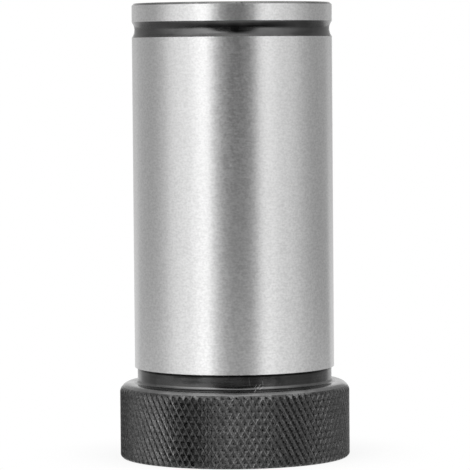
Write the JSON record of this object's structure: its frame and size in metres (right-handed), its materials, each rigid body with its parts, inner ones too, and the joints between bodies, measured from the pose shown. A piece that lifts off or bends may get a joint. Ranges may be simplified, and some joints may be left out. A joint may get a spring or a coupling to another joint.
{
  "type": "tool holder sleeve",
  "caption": "Turned steel tool holder sleeve: ground cylinder with a retaining groove, a through bore and a diamond-knurled collar.",
  "frame": {"origin": "centre of the collar's lower face, on which the sleeve stands", "axes": "+Z along the bore axis, from the knurled collar towards the grooved free end"},
  "size_m": [0.0368, 0.0368, 0.0726],
  "materials": {
    "sleeve_steel": "body and bore ground bright; groove, neck, collar and chamfers left black oxide"
  },
  "bodies": {
    "root": {"sleeve": "sleeve_steel"}
  },
  "joints": []
}
